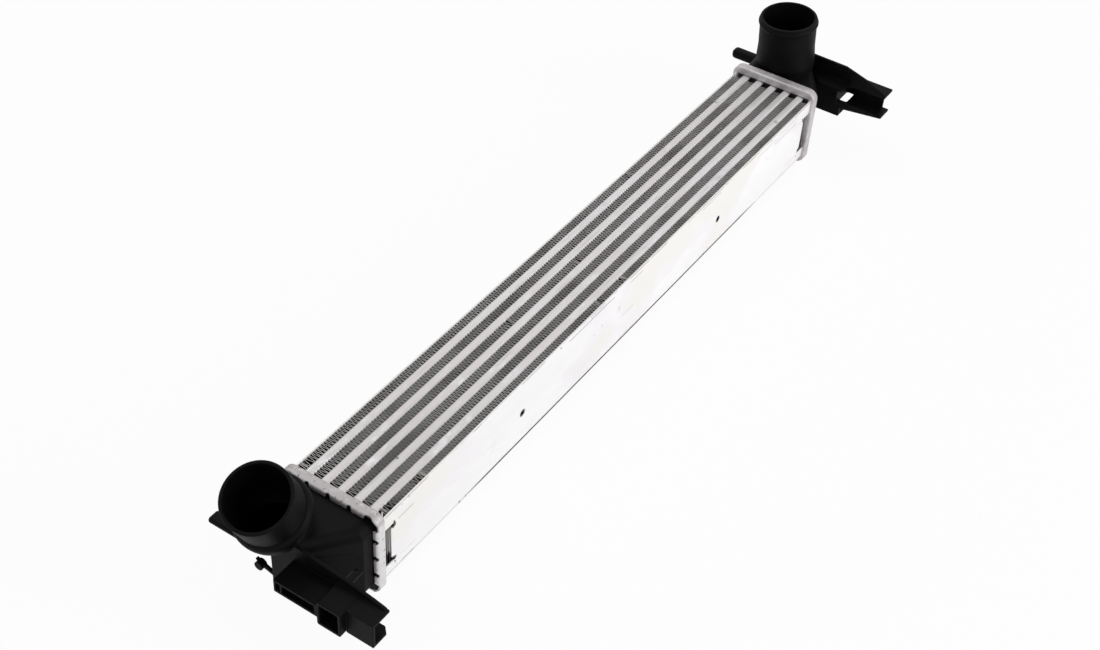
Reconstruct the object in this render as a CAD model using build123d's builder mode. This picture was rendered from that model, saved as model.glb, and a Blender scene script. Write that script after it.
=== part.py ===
from build123d import *
from math import radians, sin, tan
import os

os.makedirs("parts", exist_ok=True)

# Frame: X runs along the core, Y across the stack, Z up; the origin is the core's centre.
# All sizes are in millimetres; "out" is the distance from the centre along X.

# Core stack
tube_count = 5
tube_height = 8.0
tube_depth = 64.0
tube_wall = 0.5
tube_corner = 2.6
fin_height = 6.6
fin_setback = 0.5
fin_depth = tube_depth - 2 * fin_setback
fin_waves = 100
fin_sheet = 0.5
plate_thickness = 1.0
stack_pitch = tube_height + fin_height
stack_half = (tube_count * tube_height + (tube_count + 1) * fin_height) / 2

# Stations along the core, measured out from its centre; each builds on the one before
fin_out = 321.5
fin_gap = 6.0
pad_rise = 2.0
header_sheet = 1.5
tube_stand = 2.0
foot_thickness = 4.5
neck_length = 10.0
taper_length = 39.5
gutter_out = fin_out + fin_gap
sheet_out = gutter_out + pad_rise
foot_out = sheet_out + header_sheet
tube_out = foot_out + tube_stand
lip_out = foot_out + foot_thickness
header_out = lip_out + header_sheet
straight_out = header_out + neck_length
wall_out = straight_out + taper_length

# Header plate: a raised pad round the tube ends, a gutter and a folded lip
slot_clearance = 0.15
pad_margin = 0.85
gutter_side = 6.95
gutter_end = 4.15
header_corner = 9.0
lip_reach = 2.5
lip_round = 2.2
gutter_round = 1.6
pad_corner = 3.5
notch_width = 4.8
notch_depth = 3.9
notch_pitch_top = 18.7
notch_pitch_side = 17.7
relief_length = 15.0
relief_width = 7.6
relief_inset = 6.1
pad_inner_width = (tube_count - 1) * stack_pitch + tube_height + 2 * pad_margin
pad_inner_height = tube_depth + 2 * pad_margin
pad_width = pad_inner_width + 2 * header_sheet
pad_height = pad_inner_height + 2 * header_sheet
header_width = pad_width + 2 * (gutter_side + header_sheet)
header_height = pad_height + 2 * (gutter_end + header_sheet)

# Moulded tank
foot_clearance = 0.3
foot_step = 2.7
moulding = 2.5
body_corner = 10.0
foot_width = header_width - 2 * (header_sheet + foot_clearance)
foot_height = header_height - 2 * (header_sheet + foot_clearance)
foot_corner = header_corner - header_sheet - foot_clearance
body_width = foot_width - 2 * foot_step
body_height = foot_height - 2 * foot_step

# Hose spigots
spigot_wall = 2.6
lip_break = 0.8


# Air fins: one corrugated strip, repeated in every gap of the stack
swing = (fin_height - fin_sheet) / 2
step = fin_out / fin_waves
crests = [(-fin_out + step * k, swing if k % 2 else -swing) for k in range(2 * fin_waves + 1)]
upper = [(x, y + fin_sheet / 2) for x, y in crests]
lower = [(x, y - fin_sheet / 2) for x, y in reversed(crests)]

with BuildPart() as air_fin:
    with BuildSketch(Plane.XY.offset(-fin_depth / 2)):
        with BuildLine():
            Polyline(*upper, *lower, close=True)
        make_face()
    extrude(amount=fin_depth)

for row in range(tube_count + 1):
    with BuildPart() as placed_fin:
        with Locations((0, (row - tube_count / 2) * stack_pitch, 0)):
            add(air_fin.part)
    placed_fin.part.label = f"air_fin_{row + 1}"
    export_step(placed_fin.part, f"parts/air_fin_{row + 1}.step")


# Charge tubes: flat hollow tubes that run through both header plates
with BuildPart() as charge_tube:
    with BuildSketch(Plane.YZ.offset(-tube_out)):
        RectangleRounded(tube_height, tube_depth, tube_corner)
        RectangleRounded(
            tube_height - 2 * tube_wall,
            tube_depth - 2 * tube_wall,
            tube_corner - tube_wall,
            mode=Mode.SUBTRACT,
        )
    extrude(amount=2 * tube_out)

for row in range(tube_count):
    with BuildPart() as placed_tube:
        with Locations((0, (row - (tube_count - 1) / 2) * stack_pitch, 0)):
            add(charge_tube.part)
    placed_tube.part.label = f"charge_tube_{row + 1}"
    export_step(placed_tube.part, f"parts/charge_tube_{row + 1}.step")


# Turbulators: folded strips inside the tubes, folds along the charge flow
turbulator_folds = 16
turbulator_sheet = 0.5
turbulator_inset = 7.0
turbulator_span = tube_depth - 8 * turbulator_sheet - 4.0
turbulator_out = tube_out - turbulator_inset
rise = (tube_height - 2 * tube_wall - turbulator_sheet) / 2
folds = [
    (rise if k % 2 else -rise, turbulator_span * (k / turbulator_folds - 0.5))
    for k in range(turbulator_folds + 1)
]
front = [(y + turbulator_sheet / 2, z) for y, z in folds]
back = [(y - turbulator_sheet / 2, z) for y, z in reversed(folds)]

with BuildPart() as turbulator:
    with BuildSketch(Plane.YZ.offset(-turbulator_out)):
        with BuildLine():
            Polyline(*front, *back, close=True)
        make_face()
    extrude(amount=2 * turbulator_out)

for row in range(tube_count):
    with BuildPart() as placed_turbulator:
        with Locations((0, (row - (tube_count - 1) / 2) * stack_pitch, 0)):
            add(turbulator.part)
    placed_turbulator.part.label = f"turbulator_{row + 1}"
    export_step(placed_turbulator.part, f"parts/turbulator_{row + 1}.step")


# Side plates: flat sheets that close the stack, two prongs at each end
prong_length = 12.5
upper_prong = 12.0
lower_prong = 6.0
relief_radius = 1.6
plate_hole = 5.0
plate_hole_out = 155.0
plate_hole_z = -2.5
crease_length = 18.0
crease_width = 0.8
crease_depth = 0.3
crease_inset = 3.0
window_out = gutter_out - prong_length
window_top = tube_depth / 2 - upper_prong
window_bottom = lower_prong - tube_depth / 2
crease_out = window_out - 15.0
window_height = window_top - window_bottom
window_middle = (window_top + window_bottom) / 2

with BuildPart() as side_plate:
    with BuildSketch(Plane.XZ.offset(stack_half)):
        Rectangle(2 * gutter_out, tube_depth)
        with Locations((gutter_out, window_middle), (-gutter_out, window_middle)):
            Rectangle(2 * (gutter_out - window_out), window_height, mode=Mode.SUBTRACT)
        with Locations(
            (window_out, window_top - relief_radius),
            (window_out, window_bottom + relief_radius),
            (-window_out, window_top - relief_radius),
            (-window_out, window_bottom + relief_radius),
        ):
            Circle(relief_radius, mode=Mode.SUBTRACT)
        with Locations((plate_hole_out, plate_hole_z), (-plate_hole_out, plate_hole_z)):
            Circle(plate_hole / 2, mode=Mode.SUBTRACT)
    extrude(amount=plate_thickness)
    with BuildSketch(Plane.XZ.offset(stack_half + plate_thickness)):
        with Locations(
            (crease_out, window_top - crease_inset),
            (crease_out, window_bottom + crease_inset),
            (-crease_out, window_top - crease_inset),
            (-crease_out, window_bottom + crease_inset),
        ):
            Rectangle(crease_length, crease_width)
    extrude(amount=-crease_depth, mode=Mode.SUBTRACT)

side_plate.part.label = "side_plate_front"
export_step(side_plate.part, "parts/side_plate_front.step")

with BuildPart() as side_plate_back:
    add(mirror(side_plate.part, about=Plane.XZ, mode=Mode.PRIVATE))
side_plate_back.part.label = "side_plate_back"
export_step(side_plate_back.part, "parts/side_plate_back.step")


# Header plate: slotted sheet with a gutter for the tank foot and tabs folded over it
with BuildPart() as header:
    with BuildSketch(Plane.YZ.offset(gutter_out)):
        RectangleRounded(header_width, header_height, header_corner)
    extrude(amount=header_out - gutter_out)
    fillet(header.faces().sort_by(Axis.X)[-1].edges(), radius=lip_round)
    fillet(header.faces().sort_by(Axis.X)[0].edges(), radius=gutter_round)
    with BuildSketch(Plane.YZ.offset(gutter_out + header_sheet)):
        RectangleRounded(
            header_width - 2 * header_sheet,
            header_height - 2 * header_sheet,
            header_corner - header_sheet,
        )
    extrude(amount=lip_out - gutter_out - header_sheet, mode=Mode.SUBTRACT)
    with BuildSketch(Plane.YZ.offset(lip_out)):
        RectangleRounded(
            header_width - 2 * (header_sheet + lip_reach),
            header_height - 2 * (header_sheet + lip_reach),
            header_corner - header_sheet - lip_reach,
        )
    extrude(amount=header_sheet, mode=Mode.SUBTRACT)
    with BuildSketch(Plane.YZ.offset(gutter_out + header_sheet)):
        RectangleRounded(pad_width, pad_height, pad_corner)
    extrude(amount=sheet_out - gutter_out)
    with BuildSketch(Plane.YZ.offset(gutter_out)):
        RectangleRounded(pad_inner_width, pad_inner_height, pad_corner - header_sheet)
    extrude(amount=sheet_out - gutter_out, mode=Mode.SUBTRACT)
    with BuildSketch(Plane.YZ.offset(sheet_out)):
        with GridLocations(stack_pitch, 0, tube_count, 1):
            RectangleRounded(
                tube_height + 2 * slot_clearance,
                tube_depth + 2 * slot_clearance,
                tube_corner + slot_clearance,
            )
    extrude(amount=header_sheet, mode=Mode.SUBTRACT)
    # round-ended notches in the lip, and an oval relief across each of its corners
    lip_y = header_width / 2 - header_sheet - lip_reach
    lip_z = header_height / 2 - header_sheet - lip_reach
    with BuildSketch(Plane.YZ.offset(lip_out)):
        for side in (-1, 1):
            with Locations((0, side * lip_z)):
                with GridLocations(notch_pitch_top, 0, 3, 1):
                    SlotOverall(2 * notch_depth, notch_width, rotation=90)
            with Locations((side * lip_y, 0)):
                with GridLocations(0, notch_pitch_side, 1, 3):
                    SlotOverall(2 * notch_depth, notch_width)
        for y, z in ((1, 1), (1, -1), (-1, 1), (-1, -1)):
            corner = (header_width / 2 - relief_inset, header_height / 2 - relief_inset)
            with Locations((y * corner[0], z * corner[1])):
                SlotOverall(relief_length, relief_width, rotation=-45 * y * z)
    extrude(amount=header_sheet, mode=Mode.SUBTRACT)

header.part.label = "header_plate_right"
export_step(header.part, "parts/header_plate_right.step")

with BuildPart() as header_left:
    add(mirror(header.part, about=Plane.YZ, mode=Mode.PRIVATE))
header_left.part.label = "header_plate_left"
export_step(header_left.part, "parts/header_plate_left.step")


# Header gaskets: flat rubber rings in the gutters, under the tank feet
gasket_clearance = 0.6

with BuildPart() as gasket:
    with BuildSketch(Plane.YZ.offset(gutter_out + header_sheet)):
        RectangleRounded(foot_width, foot_height, foot_corner)
        RectangleRounded(
            pad_width + 2 * gasket_clearance,
            pad_height + 2 * gasket_clearance,
            pad_corner + gasket_clearance,
            mode=Mode.SUBTRACT,
        )
    extrude(amount=foot_out - gutter_out - header_sheet)

gasket.part.label = "header_gasket_right"
export_step(gasket.part, "parts/header_gasket_right.step")

with BuildPart() as gasket_left:
    add(mirror(gasket.part, about=Plane.YZ, mode=Mode.PRIVATE))
gasket_left.part.label = "header_gasket_left"
export_step(gasket_left.part, "parts/header_gasket_left.step")


# Tank shell, common to both ends: foot, straight neck and a body tapering to the end wall
end_width = 51.5
end_height = 23.0
end_corner = 8.0
end_high_y = body_width / 2
end_high_z = body_height / 2 + moulding
end_low_y = end_high_y - end_width
end_low_z = end_high_z - end_height
end_y = end_high_y - end_width / 2
end_z = end_high_z - end_height / 2
neck_overlap = 0.5

with BuildPart() as shell:
    with BuildSketch(Plane.YZ.offset(foot_out)):
        RectangleRounded(foot_width, foot_height, foot_corner)
    extrude(amount=lip_out - foot_out)
    for station in (lip_out - neck_overlap, straight_out):
        with BuildSketch(Plane.YZ.offset(station)):
            RectangleRounded(body_width, body_height, body_corner)
    with BuildSketch(Plane.YZ.offset(wall_out)):
        with Locations((end_y, end_z)):
            RectangleRounded(end_width, end_height, end_corner)
    loft(ruled=True)

with BuildPart() as hollow:
    for station in (foot_out, straight_out):
        with BuildSketch(Plane.YZ.offset(station)):
            RectangleRounded(
                body_width - 2 * moulding,
                body_height - 2 * moulding,
                body_corner - moulding,
            )
    with BuildSketch(Plane.YZ.offset(wall_out - moulding)):
        with Locations((end_y, end_z)):
            RectangleRounded(
                end_width - 2 * moulding,
                end_height - 2 * moulding,
                end_corner - moulding,
            )
    loft(ruled=True)


# Hose spigots are turned about Z below a lip at the local origin
def close_with_dome(radius, centre):
    """Quarter arc that ends a turned outline on its axis, centred below the lip."""
    half = radius * sin(radians(45))
    ThreePointArc((radius, -centre), (half, -centre - half), (0, -centre - radius))
    Line((0, -centre - radius), (0, 0))


# Hose spigot of the left tank, leaning outward: seat, clip groove, shoulder, domed elbow
left_lip = 26.4
left_seat = 25.8
groove_width = 1.6
groove_depth = 0.6
shoulder_rise = 2.1
shoulder_drop = 2.2
left_elbow = 29.3
left_elbow_from = 33.0
left_lean = 27.31
left_tilt = -3.93
left_lip_out = 6.4
left_lip_rise = 40.5
left_spigot_y = 12.0
groove_end = left_seat + groove_width
left_plane = Plane(
    origin=(wall_out + left_lip_out, left_spigot_y, end_high_z + left_lip_rise),
    z_dir=(tan(radians(left_lean)), tan(radians(left_tilt)), 1),
)

with BuildPart() as left_spigot:
    with BuildSketch(Plane.XZ):
        with BuildLine():
            Polyline(
                (0, 0),
                (left_lip - lip_break, 0),
                (left_lip, -lip_break),
                (left_lip, -left_seat),
                (left_lip - groove_depth, -left_seat),
                (left_lip - groove_depth, -groove_end),
                (left_lip, -groove_end),
            )
            ThreePointArc(
                (left_lip, -groove_end),
                (left_lip + shoulder_rise, -groove_end - shoulder_drop),
                (left_elbow, -left_elbow_from),
            )
            close_with_dome(left_elbow, left_elbow_from)
        make_face()
    revolve(axis=Axis.Z)

with BuildPart() as left_bore:
    with BuildSketch(Plane.XZ):
        with BuildLine():
            Polyline(
                (0, 0),
                (left_lip - spigot_wall, 0),
                (left_lip - spigot_wall, -left_elbow_from),
                (left_elbow - spigot_wall, -left_elbow_from),
            )
            close_with_dome(left_elbow - spigot_wall, left_elbow_from)
        make_face()
    revolve(axis=Axis.Z)


# Arm of the left tank: upright wall with a skirt, pocket boxes and an open end channel
pocket_reach = 21.2
web_reach = 15.2
pocket_wall = 2.0
rib = 1.4
channel_wall = 2.2
small_cell = 4.3
skirt_near = 10.0
skirt_end = -49.5
skirt_low = -11.5
saddle_width = 6.0
saddle_high = 15.0
pocket_near = -11.3
pocket_low = 14.0
pocket_high = 25.8
left_box_near = -48.6
left_box_far = -68.7
left_box_low = 7.0
left_box_high = 29.5
box_corner = 1.6
left_end = -91.5
left_channel_low = 6.8
left_channel_high = 29.0
flange_corner = 4.0
crown_y = -10.0
left_crown = 40.5
left_shoulder_y = -60.0
left_shoulder = 35.5
left_slope_y = -80.0
left_slope = 32.0
left_tip = 29.8
left_wall_end = -90.2
tip_round = 2.4
gusset_low = 26.0
gusset_near = -14.0
gusset_shoulder = -41.0
gusset_far = -56.5
gusset_reach = 26.2
gusset_cut = 7.6
slot_length = 13.0
slot_width = 4.8
slot_inset = 10.4
slot_margin = 3.9
boss_radius = 3.6
boss_y = 21.3
boss_z = -2.6
boss_proud = 1.0
web = 1.0
bar_root = 33.5
bar_depth = 11.0
left_bar_low = 9.0
arm_inner = wall_out - moulding
pocket_out = wall_out + pocket_reach
web_out = wall_out + web_reach

with BuildPart() as left_arm:
    with BuildSketch(Plane.YZ.offset(arm_inner)) as left_arm_wall:
        with BuildLine():
            Polyline(
                (end_high_y, end_high_z - end_corner),
                (crown_y, left_crown),
                (left_shoulder_y, left_shoulder),
                (left_slope_y, left_slope),
                (left_wall_end, left_tip),
                (left_wall_end, left_channel_high - channel_wall),
                (left_box_far, left_channel_high - channel_wall),
                (left_box_far, left_box_low),
                (skirt_end, left_box_low),
                (skirt_end, skirt_low),
                (skirt_near, skirt_low),
                (skirt_near, saddle_high),
                (skirt_near + saddle_width, saddle_high),
                (bar_root - saddle_width, left_bar_low),
                (end_high_y, left_bar_low),
                close=True,
            )
        make_face()
        tip = left_arm_wall.vertices().group_by(Axis.X)[0].sort_by(Axis.Y)[-1]
        fillet(tip, radius=tip_round)
    extrude(amount=moulding)
    # pocket row: a small and a long cell, open outward
    with BuildSketch(Plane.YZ.offset(arm_inner)):
        with Locations(((pocket_near + left_box_near) / 2, (pocket_low + pocket_high) / 2)):
            Rectangle(pocket_near - left_box_near, pocket_high - pocket_low)
    extrude(amount=pocket_out - arm_inner)
    cell_z = (pocket_low + pocket_high) / 2
    cell_height = pocket_high - pocket_low - 2 * pocket_wall
    long_cell = pocket_near - left_box_near - small_cell - 2 * rib - pocket_wall
    with BuildSketch(Plane.YZ.offset(wall_out)):
        with Locations((pocket_near - rib - small_cell / 2, cell_z)):
            Rectangle(small_cell, cell_height)
        with Locations((left_box_near + pocket_wall + long_cell / 2, cell_z)):
            Rectangle(long_cell, cell_height)
    extrude(amount=pocket_out - wall_out, mode=Mode.SUBTRACT)
    # deep box, open outward
    box_y = (left_box_near + left_box_far) / 2
    box_z = (left_box_low + left_box_high) / 2
    box_width = left_box_near - left_box_far
    box_height = left_box_high - left_box_low
    with BuildSketch(Plane.YZ.offset(arm_inner)):
        with Locations((box_y, box_z)):
            RectangleRounded(box_width, box_height, box_corner)
    extrude(amount=pocket_out - arm_inner)
    with BuildSketch(Plane.YZ.offset(wall_out)):
        with Locations((box_y, box_z)):
            RectangleRounded(
                box_width - 2 * pocket_wall,
                box_height - 2 * pocket_wall,
                box_corner / 2,
            )
    extrude(amount=pocket_out - wall_out, mode=Mode.SUBTRACT)
    # end channel, open toward the core
    with BuildSketch(Plane.XZ.offset(-left_box_far)):
        with Locations(((arm_inner + web_out) / 2, (left_channel_low + left_channel_high) / 2)):
            Rectangle(web_out - arm_inner, left_channel_high - left_channel_low)
        with Locations(
            ((arm_inner + web_out - channel_wall) / 2, (left_channel_low + left_channel_high) / 2)
        ):
            Rectangle(
                web_out - arm_inner - channel_wall,
                left_channel_high - left_channel_low - 2 * channel_wall,
                mode=Mode.SUBTRACT,
            )
    extrude(amount=left_box_far - left_end)
    with BuildSketch(Plane.XY.offset(left_channel_low)):
        with BuildLine():
            Polyline(
                (arm_inner, left_end),
                (arm_inner + flange_corner, left_end),
                (arm_inner, left_end + flange_corner),
                close=True,
            )
        make_face()
    extrude(amount=channel_wall, mode=Mode.SUBTRACT)
    # slotted gusset between the wall and the tank
    with BuildSketch(Plane.XY.offset(gusset_low)):
        with BuildLine():
            Polyline(
                (wall_out, gusset_near),
                (wall_out - gusset_reach, gusset_shoulder),
                (wall_out - gusset_reach, gusset_far + gusset_cut),
                (wall_out - gusset_reach + gusset_cut, gusset_far),
                (wall_out, gusset_far),
                close=True,
            )
        make_face()
        with Locations((wall_out - slot_inset, gusset_far + slot_margin)):
            SlotOverall(slot_length, slot_width, mode=Mode.SUBTRACT)
    extrude(amount=moulding)
    # round boss on a thin web beside the skirt
    with BuildSketch(Plane.YZ.offset(arm_inner)):
        with BuildLine():
            Polyline(
                (skirt_near - web, boss_z - boss_radius),
                (skirt_near - web, boss_z - web),
                (boss_y + boss_radius, boss_z + boss_radius + web),
                (boss_y + boss_radius, boss_z + boss_radius),
                (boss_y, boss_z),
                close=True,
            )
        make_face()
    extrude(amount=moulding)
    with BuildSketch(Plane.YZ.offset(arm_inner - boss_proud)):
        with Locations((boss_y, boss_z)):
            Circle(boss_radius)
    extrude(amount=moulding + 3 * boss_proud)


# Left tank: shell, spigot, arm and a locating bar in one moulding
bar_tip = 69.0
left_bar_height = 5.2
left_bar_corner = 2.4
tip_ease = 0.3

with BuildPart() as left_bar:
    with BuildSketch(Plane.XZ.offset(-bar_tip)):
        with Locations((wall_out - bar_depth / 2, left_bar_low + left_bar_height / 2)):
            RectangleRounded(bar_depth, left_bar_height, left_bar_corner)
    extrude(amount=bar_tip - bar_root)
    fillet(left_bar.faces().sort_by(Axis.Y)[-1].edges(), radius=left_bar_corner - tip_ease)

with BuildPart() as left_tank:
    add(shell.part)
    add(left_arm.part)
    add(left_bar.part)
    with Locations(left_plane.location):
        add(left_spigot.part)
    add(hollow.part, mode=Mode.SUBTRACT)
    with Locations(left_plane.location):
        add(left_bore.part, mode=Mode.SUBTRACT)

with BuildPart() as tank_left:
    add(mirror(left_tank.part, about=Plane.YZ, mode=Mode.PRIVATE))
tank_left.part.label = "end_tank_left"
export_step(tank_left.part, "parts/end_tank_left.step")


# Hose spigot of the right tank, upright: rounded hose bead, seat and a flared foot
right_lip = 27.3
right_seat_from = 7.2
right_seat = 30.0
right_foot = 28.5
right_foot_from = 46.0
bead_rise = 1.3
bead_from = 2.4
right_lean = -3.33
right_tilt = 2.81
right_lip_in = 21.2
right_lip_rise = 49.0
right_spigot_y = 11.4
right_plane = Plane(
    origin=(wall_out - right_lip_in, right_spigot_y, end_high_z + right_lip_rise),
    z_dir=(tan(radians(right_lean)), tan(radians(right_tilt)), 1),
)

with BuildPart() as right_spigot:
    with BuildSketch(Plane.XZ):
        with BuildLine():
            Polyline(
                (0, 0),
                (right_lip - lip_break, 0),
                (right_lip, -lip_break),
                (right_lip, -bead_from),
            )
            ThreePointArc(
                (right_lip, -bead_from),
                (right_lip + bead_rise, -(bead_from + right_seat_from) / 2),
                (right_lip, -right_seat_from),
            )
            Polyline(
                (right_lip, -right_seat_from),
                (right_lip, -right_seat),
                (right_foot, -right_foot_from),
            )
            close_with_dome(right_foot, right_foot_from)
        make_face()
    revolve(axis=Axis.Z)

with BuildPart() as right_bore:
    with BuildSketch(Plane.XZ):
        with BuildLine():
            Polyline(
                (0, 0),
                (right_lip - spigot_wall, 0),
                (right_lip - spigot_wall, -right_foot_from),
                (right_foot - spigot_wall, -right_foot_from),
            )
            close_with_dome(right_foot - spigot_wall, right_foot_from)
        make_face()
    revolve(axis=Axis.Z)


# Arm of the right tank: taller wall, flanged skirt and a box that opens toward the core
right_box_near = -45.0
right_box_far = -57.6
right_box_low = 4.8
right_box_high = 25.8
right_end = -93.0
right_web_end = -87.0
right_channel_low = 3.2
right_channel_high = 28.2
right_pocket_low = 12.0
right_crown = 45.2
right_shoulder_y = -48.6
right_shoulder = 44.6
right_slope_y = -70.6
right_slope = 38.3
right_tip = 29.5
right_bar_low = 12.5
floor_hole_length = 20.0
floor_hole_width = 8.4
floor_hole_corner = 2.0
rib_low = -3.0
rib_knee_y = -55.0
rib_knee = -2.0
slab_shoulder = -28.0
slab_far = -55.6
slab_reach = 18.1
slab_round = 3.0
ledge_y = -41.5
ledge_length = 19.5
ledge_proud = 0.8
ledge_high = 30.0
post_depth = 6.0

with BuildPart() as right_arm:
    with BuildSketch(Plane.YZ.offset(arm_inner)) as right_arm_wall:
        with BuildLine():
            Polyline(
                (end_high_y, end_high_z - end_corner),
                (crown_y, right_crown),
                (right_shoulder_y, right_shoulder),
                (right_slope_y, right_slope),
                (right_end, right_tip),
                (right_end, right_channel_high - channel_wall),
                (right_box_near - pocket_wall, right_channel_high - channel_wall),
                (right_box_near - pocket_wall, right_box_low),
                (skirt_end, right_box_low),
                (skirt_end, skirt_low),
                (skirt_near, skirt_low),
                (skirt_near, saddle_high),
                (skirt_near + saddle_width, saddle_high),
                (bar_root - saddle_width, right_bar_low),
                (end_high_y, right_bar_low),
                close=True,
            )
        make_face()
        tip = right_arm_wall.vertices().group_by(Axis.X)[0].sort_by(Axis.Y)[-1]
        fillet(tip, radius=tip_round)
    extrude(amount=moulding)
    # pocket row: a small and a long cell, open outward
    with BuildSketch(Plane.YZ.offset(arm_inner)):
        with Locations(
            ((pocket_near + right_box_near) / 2, (right_pocket_low + pocket_high) / 2)
        ):
            Rectangle(pocket_near - right_box_near, pocket_high - right_pocket_low)
    extrude(amount=pocket_out - arm_inner)
    cell_z = (right_pocket_low + pocket_high) / 2
    cell_height = pocket_high - right_pocket_low - 2 * pocket_wall
    long_cell = pocket_near - right_box_near - small_cell - 2 * rib - pocket_wall
    with BuildSketch(Plane.YZ.offset(wall_out)):
        with Locations((pocket_near - rib - small_cell / 2, cell_z)):
            Rectangle(small_cell, cell_height)
        with Locations((right_box_near + pocket_wall + long_cell / 2, cell_z)):
            Rectangle(long_cell, cell_height)
    extrude(amount=pocket_out - wall_out, mode=Mode.SUBTRACT)
    # flange along the bottom of the skirt
    with BuildSketch(Plane.XZ.offset(-pocket_near)):
        with Locations(
            ((arm_inner + web_out - channel_wall) / 2, skirt_low + channel_wall / 2)
        ):
            Rectangle(web_out - channel_wall - arm_inner, channel_wall)
    extrude(amount=pocket_near - skirt_end)
    # box, open toward the core, with a slotted floor
    box_y = (right_box_near + right_box_far) / 2
    box_z = (right_box_low + right_box_high) / 2
    box_width = right_box_near - right_box_far
    box_height = right_box_high - right_box_low
    with BuildSketch(Plane.YZ.offset(arm_inner)):
        with Locations((box_y, box_z)):
            Rectangle(box_width, box_height)
    extrude(amount=pocket_out - arm_inner)
    with BuildSketch(Plane.YZ.offset(arm_inner)):
        with Locations((box_y, box_z)):
            Rectangle(box_width - 2 * pocket_wall, box_height - 2 * channel_wall)
    extrude(amount=pocket_out - pocket_wall - arm_inner, mode=Mode.SUBTRACT)
    with BuildSketch(Plane.XY.offset(right_box_low)):
        with Locations(((arm_inner + pocket_out - channel_wall) / 2, box_y)):
            RectangleRounded(floor_hole_length, floor_hole_width, floor_hole_corner)
    extrude(amount=channel_wall, mode=Mode.SUBTRACT)
    # end channel, open toward the core; its web stops short of the flanges
    with BuildSketch(Plane.XZ.offset(-right_box_far)):
        with Locations(((arm_inner + web_out) / 2, (right_channel_low + right_channel_high) / 2)):
            Rectangle(web_out - arm_inner, right_channel_high - right_channel_low)
        with Locations(
            ((arm_inner + web_out - channel_wall) / 2, (right_channel_low + right_channel_high) / 2)
        ):
            Rectangle(
                web_out - arm_inner - channel_wall,
                right_channel_high - right_channel_low - 2 * channel_wall,
                mode=Mode.SUBTRACT,
            )
    extrude(amount=right_box_far - right_end)
    with BuildSketch(Plane.XZ.offset(-right_web_end)):
        with Locations((web_out, (right_channel_low + right_channel_high) / 2)):
            Rectangle(
                2 * channel_wall,
                right_channel_high - right_channel_low - 2 * channel_wall,
            )
    extrude(amount=right_web_end - right_end, mode=Mode.SUBTRACT)
    # the box and the channel are one recess on the core side
    with BuildSketch(Plane.XZ.offset(-right_box_far - pocket_wall)):
        with Locations(((arm_inner + web_out - channel_wall) / 2, box_z)):
            Rectangle(web_out - channel_wall - arm_inner, box_height - 2 * channel_wall)
    extrude(amount=2 * pocket_wall, mode=Mode.SUBTRACT)
    # tapered rib along the lower inner edge
    with BuildSketch(Plane.YZ.offset(arm_inner)):
        with BuildLine():
            Polyline(
                (right_box_near, right_box_low + 1),
                (right_box_near, rib_low),
                (rib_knee_y, rib_knee),
                (right_end, right_channel_low),
                (right_end, right_channel_low + channel_wall),
                (right_box_far, right_box_low + 1),
                close=True,
            )
        make_face()
    extrude(amount=moulding)
    # gusset slab between the wall and the tank, with a low ledge and a post under it
    with BuildSketch(Plane.XY.offset(gusset_low)) as slab:
        with BuildLine():
            Polyline(
                (wall_out, gusset_near),
                (wall_out - slab_reach, slab_shoulder),
                (wall_out - slab_reach, slab_far),
                (wall_out, slab_far),
                close=True,
            )
        make_face()
        slab_end = slab.vertices().group_by(Axis.Y)[0].sort_by(Axis.X)[0]
        fillet(slab_end, radius=slab_round)
    extrude(amount=moulding)
    with BuildSketch(Plane.XY.offset(gusset_low)):
        with Locations((arm_inner, ledge_y)):
            Rectangle(2 * (moulding - ledge_proud), ledge_length)
    extrude(amount=ledge_high - gusset_low)
    with BuildSketch(Plane.XY.offset(right_box_low + rib)):
        with Locations((arm_inner - post_depth / 2, right_box_near - pocket_wall / 2)):
            Rectangle(post_depth + rib, pocket_wall)
    extrude(amount=gusset_low - right_box_low)


# Right tank: shell, spigot, arm and a locating bar in one moulding
right_bar_tip = 70.5
right_bar_height = 10.0
right_bar_corner = 4.0

with BuildPart() as right_bar:
    with BuildSketch(Plane.XZ.offset(-right_bar_tip)):
        with Locations((wall_out - bar_depth / 2, right_bar_low + right_bar_height / 2)):
            RectangleRounded(bar_depth, right_bar_height, right_bar_corner)
    extrude(amount=right_bar_tip - bar_root)
    fillet(right_bar.faces().sort_by(Axis.Y)[-1].edges(), radius=right_bar_corner - tip_ease)

with BuildPart() as right_tank:
    add(shell.part)
    add(right_arm.part)
    add(right_bar.part)
    with Locations(right_plane.location):
        add(right_spigot.part)
    add(hollow.part, mode=Mode.SUBTRACT)
    with Locations(right_plane.location):
        add(right_bore.part, mode=Mode.SUBTRACT)

right_tank.part.label = "end_tank_right"
export_step(right_tank.part, "parts/end_tank_right.step")
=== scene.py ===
"""Looks of a charge air cooler: finned aluminium core, crimped headers, moulded end tanks."""

import logging
import math
from dataclasses import dataclass
from enum import Enum
from typing import Any, ClassVar, Dict, List, Optional, Sequence, Tuple, Union

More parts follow.
